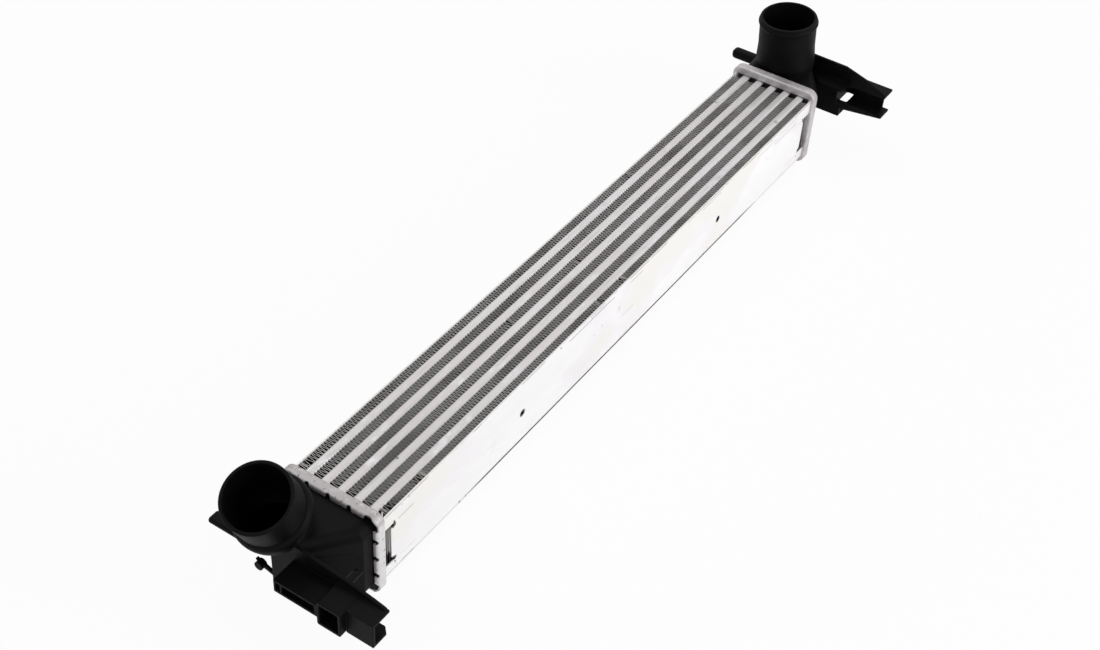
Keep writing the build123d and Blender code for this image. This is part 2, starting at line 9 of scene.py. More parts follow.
import bmesh
import bpy
from mathutils import Euler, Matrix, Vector


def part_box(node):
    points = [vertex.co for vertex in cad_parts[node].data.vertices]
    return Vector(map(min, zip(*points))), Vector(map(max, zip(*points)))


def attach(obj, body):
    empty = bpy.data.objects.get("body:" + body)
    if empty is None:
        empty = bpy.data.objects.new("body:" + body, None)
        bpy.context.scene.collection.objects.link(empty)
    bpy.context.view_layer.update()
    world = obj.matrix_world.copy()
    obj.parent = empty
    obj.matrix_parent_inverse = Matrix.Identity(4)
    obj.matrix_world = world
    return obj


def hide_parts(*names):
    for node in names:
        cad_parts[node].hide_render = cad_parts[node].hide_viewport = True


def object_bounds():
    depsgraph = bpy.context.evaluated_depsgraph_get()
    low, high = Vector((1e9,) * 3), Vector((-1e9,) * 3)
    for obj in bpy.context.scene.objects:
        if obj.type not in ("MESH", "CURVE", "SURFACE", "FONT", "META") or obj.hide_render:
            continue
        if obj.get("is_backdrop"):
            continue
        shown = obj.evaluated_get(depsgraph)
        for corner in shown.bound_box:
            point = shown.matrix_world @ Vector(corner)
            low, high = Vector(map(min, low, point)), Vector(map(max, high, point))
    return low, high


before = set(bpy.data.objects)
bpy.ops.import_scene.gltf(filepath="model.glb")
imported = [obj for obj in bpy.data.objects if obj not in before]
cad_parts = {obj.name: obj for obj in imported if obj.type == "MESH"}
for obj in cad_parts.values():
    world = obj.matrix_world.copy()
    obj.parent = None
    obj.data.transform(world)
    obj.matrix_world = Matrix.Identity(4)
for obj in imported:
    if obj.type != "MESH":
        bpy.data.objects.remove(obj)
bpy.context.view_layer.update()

MM = 0.001
# From the middle of the core to the outer face of a side plate, and to the top of the tubes,
# in millimetres.
PLATE_OUT = 40.8
TUBE_TOP = 32.0
WHITE = (1.0, 1.0, 1.0, 1.0)
Colour = Tuple[float, float, float, float]
Point = Tuple[float, float, float]
Span = Tuple[float, float]
Number = Union[float, "Wire"]

logging.basicConfig(level=logging.INFO, format="%(message)s")
log = logging.getLogger("cooler")


@dataclass(frozen=True)
class Grain:
    """A noise, the range of it that makes a mark, and how far the mark covers."""

    scale: float
    detail: float = 3.0
    rough: float = 0.5
    stretch: Optional[Point] = None
    low: float = 0.0
    high: float = 1.0
    share: float = 1.0


@dataclass(frozen=True)
class Spot:
    """One spot on a surface, with its place and radius in millimetres."""

    at: Point
    radius: float
    strength: float = 1.0
    ragged: float = 0.8


@dataclass(frozen=True)
class Stroke:
    """One thin line along X, with its ends, height and width in millimetres."""

    low: float
    high: float
    height: float
    width: float
    strength: float


class Wire:
    """An output socket that takes part in arithmetic by adding Math nodes."""

    def __init__(self, sheet: "Sheet", socket: Optional[bpy.types.NodeSocket]) -> None:
        """Keep the sheet that the socket belongs to.

        Args:
            sheet: The node sheet that new nodes are added to.
            socket: The output socket that this wire carries, or None after an output node.
        """
        self.sheet = sheet
        self.socket = socket

    def math(self, operation: str, first: Number, second: Number) -> "Wire":
        """Add one Math node.

        Args:
            operation: The node's operation, such as ADD.
            first: The first operand.
            second: The second operand.

        Returns:
            The wire that carries the result.
        """
        return self.sheet.node("ShaderNodeMath", {"operation": operation}, {0: first, 1: second})

    def __add__(self, other: Number) -> "Wire":
        """Sum of two values."""
        return self.math("ADD", self, other)

    def __radd__(self, other: Number) -> "Wire":
        """Sum with a number on the left."""
        return self.math("ADD", other, self)

    def __sub__(self, other: Number) -> "Wire":
        """Difference of two values."""
        return self.math("SUBTRACT", self, other)

    def __rsub__(self, other: Number) -> "Wire":
        """Difference with a number on the left."""
        return self.math("SUBTRACT", other, self)

    def __mul__(self, other: Number) -> "Wire":
        """Product of two values."""
        return self.math("MULTIPLY", self, other)

    def __rmul__(self, other: Number) -> "Wire":
        """Product with a number on the left."""
        return self.math("MULTIPLY", other, self)

    def size(self) -> "Wire":
        """Absolute value."""
        return self.math("ABSOLUTE", self, 0.0)

    def most(self, other: Number) -> "Wire":
        """Larger of two values."""
        return self.math("MAXIMUM", self, other)

    def swing(self, reach: float) -> "Wire":
        """Noise from 0 to 1 turned into a swing about zero, as wide as the reach."""
        return (self - 0.5) * reach


class Sheet:
    """A node tree, filled through one method for nodes.

    The spot and stroke numbers are multiples of a spot's radius and of a stroke's width, apart
    from the two noises: spot_noise has that many features in a radius.
    """

    bevel_samples: ClassVar[int] = 6
    spot_core: ClassVar[float] = 0.6
    spot_noise: ClassVar[float] = 1.1
    stroke_ends: ClassVar[float] = 4.0
    stroke_core: ClassVar[float] = 0.4
    stroke_edge: ClassVar[float] = 0.8
    stroke_wander: ClassVar[float] = 1.6
    stroke_noise: ClassVar[Grain] = Grain(60.0, detail=2.0)

    def __init__(self, tree: bpy.types.NodeTree) -> None:
        """Take over a node tree and empty it.

        Args:
            tree: The node tree of a material or a world.
        """
        self.tree = tree
        self.tree.nodes.clear()

    def node(
        self,
        kind: str,
        settings: Optional[Dict[str, Any]] = None,
        inputs: Optional[Dict[Union[int, str], Any]] = None,
        output: Union[int, str] = 0,
    ) -> Wire:
        """Add a node, set it up and feed its sockets.

        Args:
            kind: The node's type name.
            settings: The node's own attributes, which are set first.
            inputs: Values or wires by socket name or index.
            output: The output socket that the returned wire carries.

        Returns:
            The wire of the chosen output socket.
        """
        made = self.tree.nodes.new(kind)
        for key, value in (settings or {}).items():
            setattr(made, key, value)
        for key, value in (inputs or {}).items():
            socket = made.inputs[key]
            if isinstance(value, Wire):
                self.tree.links.new(value.socket, socket)
            else:
                socket.default_value = value
        return Wire(self, made.outputs[output] if made.outputs else None)

    def place(self) -> Wire:
        """Position in the object's own frame, in metres."""
        return self.node("ShaderNodeTexCoord", output="Object")

    def axes(self) -> Tuple[Wire, Wire, Wire]:
        """Position along X, Y and Z, each as a wire of its own.

        Returns:
            The three coordinates, in metres.
        """
        split = self.node("ShaderNodeSeparateXYZ", inputs={0: self.place()})
        x, y, z = split.socket.node.outputs
        return Wire(self, x), Wire(self, y), Wire(self, z)

    def stretched(self, scale: Point) -> Wire:
        """Position scaled differently along each axis.

        Args:
            scale: Factors along X, Y and Z.

        Returns:
            The scaled position.
        """
        return self.node(
            "ShaderNodeVectorMath", {"operation": "MULTIPLY"}, {0: self.place(), 1: scale}
        )

    def noise(self, grain: Grain, at: Optional[Wire] = None) -> Wire:
        """Soft noise from 0 to 1.

        Args:
            grain: Scale, detail and stretch of the noise.
            at: Position to read an unstretched noise at, or None for the object's own.

        Returns:
            The noise value.
        """
        if grain.stretch is not None:
            at = self.stretched(grain.stretch)
        return self.node(
            "ShaderNodeTexNoise",
            inputs={
                "Vector": at or self.place(),
                "Scale": grain.scale,
                "Detail": grain.detail,
                "Roughness": grain.rough,
            },
        )

    def band(self, value: Wire, low: float, high: float) -> Wire:
        """Smooth step of a value.

        Args:
            value: The value to map.
            low: Where the result is 0.
            high: Where the result is 1.

        Returns:
            The mapped value, from 0 to 1.
        """
        return self.node(
            "ShaderNodeMapRange",
            {"interpolation_type": "SMOOTHSTEP"},
            {"Value": value, "From Min": low, "From Max": high},
        )

    def patches(self, grain: Grain) -> Wire:
        """Mask of the patches where a noise is in its marked range.

        Args:
            grain: The noise and its range.

        Returns:
            The mask, 1 inside a patch.
        """
        return self.band(self.noise(grain), grain.low, grain.high)

    def within(self, value: Wire, reach: float, soft: float) -> Wire:
        """Mask of the places at most a reach away from zero.

        Args:
            value: The coordinate.
            reach: Where the mask has come down to 0.
            soft: Width of its soft edge.

        Returns:
            The mask, 1 inside.
        """
        return 1 - self.band(value.size(), reach - soft, reach)

    def blend(self, factor: Number, low: Any, high: Any) -> Wire:
        """Mix two colours.

        Args:
            factor: Share of the second colour.
            low: Colour at factor 0.
            high: Colour at factor 1.

        Returns:
            The mixed colour.
        """
        return self.node(
            "ShaderNodeMix", {"data_type": "RGBA"}, {0: factor, 6: low, 7: high}, output=2
        )

    def bump(
        self, height: Wire, strength: float, depth: float, normal: Optional[Wire] = None
    ) -> Wire:
        """Turn a height into a normal.

        Args:
            height: Height value.
            strength: Share of the effect.
            depth: Height of a value of 1, in metres.
            normal: Normal that the bump is added to.

        Returns:
            The bumped normal.
        """
        feeds: Dict[Union[int, str], Any] = {
            "Height": height,
            "Strength": strength,
            "Distance": depth,
        }
        if normal is not None:
            feeds["Normal"] = normal
        return self.node("ShaderNodeBump", inputs=feeds)

    def eased_edges(self, radius: float) -> Wire:
        """Normal that rounds sharp edges.

        Args:
            radius: Radius of the rounding, in metres.

        Returns:
            The rounded normal.
        """
        return self.node("ShaderNodeBevel", {"samples": self.bevel_samples}, {"Radius": radius})

    def spot(self, spot: Spot) -> Wire:
        """Mask of one ragged spot.

        Args:
            spot: Its place, radius and raggedness.

        Returns:
            The mask, 1 inside the spot.
        """
        middle = tuple(value * MM for value in spot.at)
        radius = spot.radius * MM
        away = self.node(
            "ShaderNodeVectorMath",
            {"operation": "DISTANCE"},
            {0: self.place(), 1: middle},
            output="Value",
        )
        edge = self.noise(Grain(self.spot_noise / radius, detail=3.0, rough=0.6))
        wander = edge.swing(2 * spot.ragged * radius)
        return 1 - self.band(away + wander, self.spot_core * radius, radius)

    def stroke(self, stroke: Stroke) -> Wire:
        """Mask of one thin line that runs along X at one height.

        Args:
            stroke: Its ends, height and width.

        Returns:
            The mask, 1 on the line.
        """
        x, _, z = self.axes()
        low, high, width = stroke.low * MM, stroke.high * MM, stroke.width * MM
        soft = self.stroke_ends * width
        along = self.band(x, low, low + soft) * (1 - self.band(x, high - soft, high))
        wander = self.noise(self.stroke_noise).swing(self.stroke_wander * width)
        off = (z + wander - stroke.height * MM).size()
        across = 1 - self.band(off, self.stroke_core * width, self.stroke_edge * width)
        return along * across

    def seen_plainly(self) -> Wire:
        """Mask of the rays that look at a thing directly, in a mirror or through glass.

        Returns:
            1 for such a ray, 0 for one that carries light.
        """
        path = self.node("ShaderNodeLightPath", output="Is Camera Ray")
        outlets = path.socket.node.outputs
        mirrored = Wire(self, outlets["Is Glossy Ray"])
        through = Wire(self, outlets["Is Transmission Ray"])
        return path.most(mirrored).most(through)

    def surface(self, inputs: Dict[Union[int, str], Any]) -> None:
        """Add the surface shader and the material output.

        Args:
            inputs: Values or wires of the surface shader's sockets.
        """
        shader = self.node("ShaderNodeBsdfPrincipled", inputs=inputs)
        self.node("ShaderNodeOutputMaterial", inputs={"Surface": shader})


@dataclass(frozen=True)
class Finish:
    """Common part of each finish: makes its material once and hands it out."""

    name: str

    def make(self) -> bpy.types.Material:
        """Build the material, or return the one built before.

        Returns:
            The finished material.
        """
        known = bpy.data.materials.get(self.name)
        if known is not None:
            return known
        material = bpy.data.materials.new(self.name)
        material.use_nodes = True
        self.draw(Sheet(material.node_tree))
        return material

    def draw(self, sheet: Sheet) -> None:
        """Fill the material's sheet; each finish has its own.

        Args:
            sheet: The empty sheet of the material.
        """
        raise NotImplementedError


@dataclass(frozen=True)
class MouldedPlastic(Finish):
    """Black glass-filled plastic with a fine eroded grain and faint flow marks."""

    dark: Colour = (0.0017, 0.0018, 0.0022, 1.0)
    light: Colour = (0.0040, 0.0040, 0.0046, 1.0)
    rough: float = 0.54
    shine: float = 0.065
    flow: Grain = Grain(45.0, detail=4.0, rough=0.55)
    erosion: Grain = Grain(1500.0, detail=2.0, rough=0.6)
    flow_weight: float = 0.7
    tone: Span = (0.35, 0.65)
    flow_sheen: float = 0.20
    erosion_sheen: float = 0.10
    dent: float = 0.22
    dent_depth: float = 0.12 * MM
    edge: float = 1.1 * MM

    def draw(self, sheet: Sheet) -> None:
        """Draw the moulded grain, the flow marks and the eased edges."""
        flow = sheet.noise(self.flow)
        pits = sheet.noise(self.erosion)
        mixed = flow * self.flow_weight + pits * (1 - self.flow_weight)
        edges = sheet.eased_edges(self.edge)
        sheet.surface(
            {
                "Base Color": sheet.blend(sheet.band(mixed, *self.tone), self.dark, self.light),
                "Roughness": self.rough
                + flow.swing(self.flow_sheen)
                + pits.swing(self.erosion_sheen),
                "Specular IOR Level": self.shine,
                "Normal": sheet.bump(pits, self.dent, self.dent_depth, edges),
            }
        )


@dataclass(frozen=True)
class BrazedAluminium(Finish):
    """Aluminium after brazing: matt, with flux bloom, blotches, specks and hairline scratches."""

    clean: Colour = (0.72, 0.705, 0.70, 1.0)
    bloom: Colour = (0.80, 0.795, 0.80, 1.0)
    stain: Colour = (0.50, 0.48, 0.465, 1.0)
    # Dark colour of the dark spots on the tubes, and of the painted shade between the tubes on the
    # header.
    soot_and_shade: Colour = (0.045, 0.042, 0.045, 1.0)
    metal: float = 0.45
    rough: float = 0.50
    drawn_along: Point = (0.25, 1.0, 1.0)
    blotch_scale: float = 26.0
    smear_fineness: float = 4.0
    speck_scale: float = 420.0
    bloomed: Span = (0.38, 0.62)
    stained: Span = (0.52, 0.72)
    specked: Span = (0.40, 0.60)
    smear_weight: float = 0.6
    stain_share: float = 0.45
    hairlines: Tuple[Grain, Grain] = (
        Grain(1.0, detail=2.0, stretch=(22.0, 420.0, 160.0), low=0.66, high=0.72),
        Grain(1.0, detail=2.0, stretch=(140.0, 60.0, 520.0), low=0.66, high=0.72),
    )
    handled: Grain = Grain(18.0, detail=2.0, low=0.52, high=0.64)
    scratch_share: float = 0.25
    blotch_sheen: float = 0.30
    speck_sheen: float = 0.12
    dimple: float = 0.05
    dimple_depth: float = 0.4 * MM
    edge: float = 0.4 * MM
    window_foot: Span = (-13.0 * MM, -9.0 * MM)
    window_head: Span = (20.0 * MM, 24.0 * MM)

    def draw(self, sheet: Sheet) -> None:
        """Draw blotches, specks, stains, scratches and the soft pressed edges."""
        at = sheet.stretched(self.drawn_along)
        fine = self.blotch_scale * self.smear_fineness
        blotch = sheet.noise(Grain(self.blotch_scale, detail=5.0, rough=0.6), at)
        speck = sheet.noise(Grain(self.speck_scale, detail=3.0, rough=0.65), at)
        smear = sheet.noise(Grain(fine, detail=3.0, rough=0.6), at)
        mixed = smear * self.smear_weight + blotch * (1 - self.smear_weight)
        stained = sheet.band(mixed, *self.stained) * self.stain_share
        bloomed = sheet.blend(sheet.band(blotch, *self.bloomed), self.clean, self.bloom)
        colour = sheet.blend(stained * sheet.band(speck, *self.specked), bloomed, self.stain)
        colour = sheet.blend(self.scratches(sheet) * self.scratch_share, colour, self.stain)
        dents = speck * 0.5 + smear * 0.5
        edges = sheet.eased_edges(self.edge)
        sheet.surface(
            {
                "Base Color": self.mark(sheet, colour),
                "Metallic": self.metal,
                "Roughness": self.rough
                + blotch.swing(self.blotch_sheen)
                + speck.swing(self.speck_sheen),
                "Normal": sheet.bump(dents, self.dimple, self.dimple_depth, edges),
            }
        )

    def scratches(self, sheet: Sheet) -> Wire:
        """Sparse hairlines from two sets of stretched noise.

        Args:
            sheet: The material's sheet.

        Returns:
            A mask that is 1 on a scratch.
        """
        first, second = (sheet.patches(hairline) for hairline in self.hairlines)
        return first.most(second) * sheet.patches(self.handled)

    def behind_window(self, sheet: Sheet, out: float, soft: float) -> Wire:
        """Mask of what the windows at the ends of the side plates leave in view.

        Args:
            sheet: The material's sheet.
            out: Distance from the middle of the core at which the mask is 1.
            soft: Width of the mask's soft edge towards the middle.

        Returns:
            The mask, 1 behind a window.
        """
        x, _, z = sheet.axes()
        outer = sheet.band(x.size(), out - soft, out)
        outer = outer * sheet.band(z, *self.window_foot)
        return outer * (1 - sheet.band(z, *self.window_head))

    def mark(self, sheet: Sheet, colour: Wire) -> Wire:
        """Add the marks of one kind of piece; plain aluminium has none.

        Args:
            sheet: The material's sheet.
            colour: The colour so far.

        Returns:
            The colour with the marks.
        """
        return colour


@dataclass(frozen=True)
class HeaderAluminium(BrazedAluminium):
    """Pressed header plate, darker on top, with a painted highlight on the lip and painted shade
    between the tubes.
    """

    flux: Colour = (0.68, 0.67, 0.66, 1.0)
    warm: Colour = (0.325, 0.305, 0.30, 1.0)
    # Painted highlight for the near header's front lip, where the light falls on it.
    lip_highlight: Colour = (0.80, 0.79, 0.78, 1.0)
    crumb: Colour = (0.10, 0.095, 0.09, 1.0)
    from_near: Span = (-200.0 * MM, 200.0 * MM)
    top: Span = (31.0 * MM, 35.0 * MM)
    front_lip: Span = (-41.0 * MM, -38.0 * MM)
    warm_share: float = 0.55
    lip_highlight_share: float = 0.68
    cloud: Grain = Grain(95.0, detail=5.0, rough=0.7, low=0.56, high=0.72, share=0.55)
    by_tubes: Span = (331.0 * MM, 335.0 * MM)
    by_tubes_gain: float = 0.08
    grit: Grain = Grain(300.0, detail=3.0, rough=0.6, low=0.61, high=0.67, share=0.85)
    # Reach of the painted shade on the header's core side between the tubes.
    pad_shade: Point = (331.2 * MM, 38.6 * MM, 33.2 * MM)
    pad_shade_edge: float = 1.0 * MM

    def mark(self, sheet: Sheet, colour: Wire) -> Wire:
        """Tint the near header's top, paint a highlight on its lip, strew flux and grit, and paint
        shade between the tubes.
        """
        x, y, z = sheet.axes()
        near = 1 - sheet.band(x, *self.from_near)
        top = sheet.band(z, *self.top)
        lip = 1 - sheet.band(y, *self.front_lip)
        colour = sheet.blend(near * top * self.warm_share, colour, self.warm)
        # Painted highlight: the front lip below the top is lightened.
        colour = sheet.blend(near * lip * (1 - top) * self.lip_highlight_share, colour, self.lip_highlight)
        by_tubes = 1 - sheet.band(x.size(), *self.by_tubes)
        cloud = sheet.noise(self.cloud) + by_tubes * self.by_tubes_gain
        clouded = sheet.band(cloud, self.cloud.low, self.cloud.high)
        colour = sheet.blend(clouded * self.cloud.share, colour, self.flux)
        grit = sheet.patches(self.grit) * near
        colour = sheet.blend(grit * self.grit.share, colour, self.crumb)
        # Painted shade: the core side between the tubes, deep in the slots, is darkened.
        out, across, up = self.pad_shade
        pad_shade = sheet.within(x, out, self.pad_shade_edge)
        pad_shade = pad_shade * sheet.within(y, across, self.pad_shade_edge)
        pad_shade = pad_shade * sheet.within(z, up, self.pad_shade_edge)
        return sheet.blend(pad_shade, colour, self.soot_and_shade)


@dataclass(frozen=True)
class TubeAluminium(BrazedAluminium):
    """Charge tube, lighter on its rounded edges, with painted shade on its flanks between the
    fins.
    """

    # Painted shade on the flat flanks between the fin rows.
    flank: Colour = (0.022, 0.021, 0.019, 1.0)
    flux: Colour = (0.78, 0.775, 0.80, 1.0)
    from_near: Span = (-300.0 * MM, -50.0 * MM)
    dull_share: float = 0.40
    cloud: Grain = Grain(
        60.0, detail=4.0, rough=0.65, stretch=(0.5, 1.0, 1.0), low=0.54, high=0.70, share=0.80
    )
    streak: Grain = Grain(
        1.0, detail=3.0, rough=0.6, stretch=(16.0, 330.0, 60.0), low=0.56, high=0.70, share=0.45
    )
    spots: Tuple[Spot, ...] = (
        Spot((-274.8, -12.7, TUBE_TOP), 1.5, 0.80),
        Spot((269.9, 30.2, TUBE_TOP), 2.4, 0.32),
        Spot((275.8, -30.2, TUBE_TOP), 2.8, 0.36),
    )
    shoulder: float = 30.8 * MM
    shoulder_edge: float = 0.5 * MM
    bare_out: float = 318.0 * MM
    bare_edge: float = 1.0 * MM

    def mark(self, sheet: Sheet, colour: Wire) -> Wire:
        """Dull the near end, add flux clouds and dark spots, and paint shade on the flanks."""
        x, _, z = sheet.axes()
        near = 1 - sheet.band(x, *self.from_near)
        colour = sheet.blend(near * self.dull_share, colour, self.stain)
        colour = sheet.blend(sheet.patches(self.cloud) * self.cloud.share, colour, self.flux)
        colour = sheet.blend(sheet.patches(self.streak) * self.streak.share, colour, self.stain)
        for spot in self.spots:
            colour = sheet.blend(sheet.spot(spot) * spot.strength, colour, self.soot_and_shade)
        # Painted shade on the flanks below the shoulders, left out behind the side plates'
        # windows.
        bare = self.behind_window(sheet, self.bare_out, self.bare_edge)
        inner = sheet.within(z, self.shoulder, self.shoulder_edge)
        return sheet.blend(inner * (1 - bare), colour, self.flank)


@dataclass(frozen=True)
class PlateAluminium(BrazedAluminium):
    """Side plate with a rubbed upper edge, broken braze lines, painted shadow at its holes and a
    dark painted shadow along its lower edge.
    """

    seam: Colour = (0.055, 0.052, 0.052, 1.0)
    rubbed: Colour = (0.70, 0.68, 0.67, 1.0)
    lilac: Colour = (0.890, 0.862, 0.892, 1.0)
    cream: Colour = (0.875, 0.858, 0.822, 1.0)
    # Painted shadow, at the punched holes and along the lower edge.
    shadow: Colour = (0.012, 0.011, 0.012, 1.0)
    patch: Grain = Grain(13.0, detail=4.0, rough=0.62, stretch=(0.6, 1.0, 1.0))
    lilac_range: Span = (0.47, 0.55)
    lilac_share: float = 0.85
    cream_range: Span = (0.52, 0.62)
    cream_share: float = 0.90
    wander: Grain = Grain(14.0, detail=3.0)
    wander_reach: float = 1.0 * MM
    gaps: Grain = Grain(30.0, detail=3.0, rough=0.6, low=0.50, high=0.56, share=0.85)
    seam_up: float = 30.6 * MM
    seam_width: float = 0.20 * MM
    rubbed_edge: float = 0.5 * MM
    rubbed_share: float = 0.30
    lower_up: float = -29.9 * MM
    lower_edge: float = 0.2 * MM
    lower_fade: Span = (200.0 * MM, 240.0 * MM)
    lower_loss: float = 0.80
    lines: Tuple[Stroke, ...] = (
        Stroke(-311.0, -291.0, 17.8, 0.55, 0.60),
        Stroke(-309.0, -291.0, -22.3, 0.45, 0.30),
        Stroke(-307.0, -291.0, -30.6, 0.60, 0.70),
        Stroke(-92.0, -22.0, 26.8, 0.55, 0.80),
        Stroke(-60.0, -30.0, 28.3, 0.45, 0.55),
        Stroke(1.0, 22.0, 25.6, 0.50, 0.60),
        Stroke(-8.0, 11.0, -4.5, 0.45, 0.50),
        Stroke(120.0, 155.0, 27.4, 0.50, 0.55),
        Stroke(222.0, 262.0, 25.0, 0.50, 0.40),
        Stroke(256.0, 303.0, 21.0, 0.60, 0.50),
        Stroke(262.0, 300.0, 27.5, 0.50, 0.40),
        Stroke(240.0, 250.0, 12.0, 0.50, 0.30),
    )
    dots: Tuple[Spot, ...] = (
        Spot((-304.8, -PLATE_OUT, 28.4), 1.0, 0.45),
        Spot((-297.0, -PLATE_OUT, 29.2), 0.9, 0.60),
        Spot((-236.0, -PLATE_OUT, -30.9), 1.3, 0.85),
        Spot((-228.0, -PLATE_OUT, -31.0), 1.1, 0.60),
        Spot((-103.0, -PLATE_OUT, 28.6), 1.2, 0.70),
        Spot((-13.6, -PLATE_OUT, 8.0), 2.2, 0.22),
        Spot((-39.9, -PLATE_OUT, 7.3), 1.6, 0.20),
        Spot((-50.9, -PLATE_OUT, 4.6), 1.4, 0.20),
        Spot((-314.5, -PLATE_OUT, 15.6), 2.9, 1.00),
        Spot((-314.7, -PLATE_OUT, -19.5), 2.7, 1.00),
    )
    punched: Tuple[Spot, ...] = (
        Spot((-154.2, -PLATE_OUT, -1.6), 4.1, ragged=0.12),
        Spot((155.0, -PLATE_OUT, -3.2), 4.1, ragged=0.12),
    )

    def mark(self, sheet: Sheet, colour: Wire) -> Wire:
        """Draw the tinted patches, the upper edge, the lines, the dots, and the painted shadow at
        the holes and along the lower edge.
        """
        x, _, z = sheet.axes()
        patch = sheet.noise(self.patch)
        lilac = sheet.band(patch, *self.lilac_range) * self.lilac_share
        colour = sheet.blend(lilac, colour, self.lilac)
        cream = sheet.band(patch, *self.cream_range) * self.cream_share
        colour = sheet.blend(cream, colour, self.cream)
        height = z + sheet.noise(self.wander).swing(self.wander_reach)
        above = sheet.band(height, self.seam_up, self.seam_up + self.rubbed_edge)
        colour = sheet.blend(above * self.rubbed_share, colour, self.rubbed)
        off = (height - self.seam_up).size()
        line = 1 - sheet.band(off, self.seam_width, 2 * self.seam_width)
        colour = sheet.blend(line * sheet.patches(self.gaps) * self.gaps.share, colour, self.seam)
        for stroke in self.lines:
            colour = sheet.blend(sheet.stroke(stroke) * stroke.strength, colour, self.seam)
        for dot in self.dots:
            colour = sheet.blend(sheet.spot(dot) * dot.strength, colour, self.seam)
        # Painted shadow at the punched holes.
        for rim in self.punched:
            colour = sheet.blend(sheet.spot(rim), colour, self.shadow)
        # Painted shadow along the lower edge, weaker towards the plate's ends.
        kept = 1 - sheet.band(x.size(), *self.lower_fade) * self.lower_loss
        below = 1 - sheet.band(z, self.lower_up - self.lower_edge, self.lower_up)
        return sheet.blend(below * kept, colour, self.shadow)


@dataclass(frozen=True)
class FinAluminium(BrazedAluminium):
    """Thin fin sheet, bright on its outer edges, painted shade inside the row, painted light on
    the last leg.
    """

    # Painted shade deep in the row, away from the open faces.
    inside: Colour = (0.012, 0.0115, 0.010, 1.0)
    # Painted light on the last leg, where the windows let light in.
    painted_window_light: Colour = (0.50, 0.49, 0.475, 1.0)
    smut: Grain = Grain(
        40.0, detail=3.0, rough=0.6, stretch=(0.5, 1.0, 1.0), low=0.44, high=0.66, share=0.8
    )
    face: float = 31.5 * MM
    fade: float = 1.0 * MM
    from_near: Span = (-320.0 * MM, -140.0 * MM)
    near_shade_steepness: float = 0.9
    end_out: float = 317.0 * MM
    end_edge: float = 0.5 * MM

    def mark(self, sheet: Sheet, colour: Wire) -> Wire:
        """Paint shade on the sheet away from the two open faces, and paint light on the last leg
        behind the windows.
        """
        x, _, z = sheet.axes()
        colour = sheet.blend(sheet.patches(self.smut) * self.smut.share, colour, self.stain)
        # Painted shade: darker with depth into the row, more steeply at the near end.
        near = 1 - sheet.band(x, *self.from_near)
        depth = (z.size() - self.face) * (1 + near * self.near_shade_steepness)
        colour = sheet.blend(1 - sheet.band(depth, -self.fade, 0.0), colour, self.inside)
        # Painted light on the last leg behind the windows.
        last = self.behind_window(sheet, self.end_out, self.end_edge)
        return sheet.blend(last, colour, self.painted_window_light)


@dataclass(frozen=True)
class GasketRubber(Finish):
    """Black sealing rubber with a dusty bloom."""

    dark: Colour = (0.012, 0.012, 0.012, 1.0)
    dusty: Colour = (0.035, 0.035, 0.034, 1.0)
    dust: Grain = Grain(300.0, detail=4.0, rough=0.6, low=0.45, high=0.7)
    rough: float = 0.62
    dust_sheen: float = 0.2
    dent: float = 0.15
    dent_depth: float = 0.1 * MM

    def draw(self, sheet: Sheet) -> None:
        """Draw the rubber and its dust."""
        dust = sheet.noise(self.dust)
        dusted = sheet.band(dust, self.dust.low, self.dust.high)
        sheet.surface(
            {
                "Base Color": sheet.blend(dusted, self.dark, self.dusty),
                "Roughness": self.rough + dust.swing(self.dust_sheen),
                "Normal": sheet.bump(dust, self.dent, self.dent_depth),
            }
        )


@dataclass(frozen=True)
class PaleFloor(Finish):
    """Plain white floor that keeps the object's soft shadow."""

    colour: Colour = (0.93, 0.93, 0.93, 1.0)
    shown_white: float = 0.94

    def draw(self, sheet: Sheet) -> None:
        """Draw the floor: mostly plain white where it is seen, shaded elsewhere."""
        shown = sheet.seen_plainly()
        diffuse = sheet.node("ShaderNodeBsdfDiffuse", inputs={"Color": self.colour})
        white = sheet.node("ShaderNodeEmission", inputs={"Color": WHITE, "Strength": 1.0})
        mixed = sheet.node(
            "ShaderNodeMixShader", inputs={0: shown * self.shown_white, 1: diffuse, 2: white}
        )
        sheet.node("ShaderNodeOutputMaterial", inputs={"Surface": mixed})


class Metal(Enum):
    """The brazed aluminium of each kind of piece."""

    TUBE = TubeAluminium(
        "tube_metal",
        clean=(0.675, 0.640, 0.636, 1.0),
        bloom=(0.73, 0.714, 0.728, 1.0),
        stain=(0.44, 0.42, 0.41, 1.0),
        blotch_scale=20.0,
        stain_share=0.55,
    )
    HEADER = HeaderAluminium(
        "header_metal",
        clean=(0.47, 0.44, 0.45, 1.0),
        bloom=(0.58, 0.555, 0.57, 1.0),
        stain=(0.33, 0.31, 0.315, 1.0),
        stain_share=0.65,
        blotch_scale=60.0,
        drawn_along=(1.0, 1.0, 1.0),
        edge=0.7 * MM,
        dimple=0.12,
    )
    PLATE = PlateAluminium(
        "plate_metal",
        clean=(0.90, 0.89, 0.895, 1.0),
        bloom=(0.93, 0.925, 0.93, 1.0),
        stain=(0.76, 0.73, 0.70, 1.0),
        metal=0.25,
        rough=0.50,
        blotch_scale=14.0,
        stain_share=0.55,
        scratch_share=0.60,
    )
    TURBULATOR = BrazedAluminium("turbulator_metal", clean=(0.66, 0.65, 0.64, 1.0), edge=0.05 * MM)
    FIN = FinAluminium(
        "fin_metal",
        clean=(0.60, 0.59, 0.57, 1.0),
        bloom=(0.68, 0.67, 0.66, 1.0),
        stain=(0.40, 0.39, 0.37, 1.0),
        metal=0.50,
        blotch_scale=35.0,
        dimple=0.0,
        edge=0.05 * MM,
    )


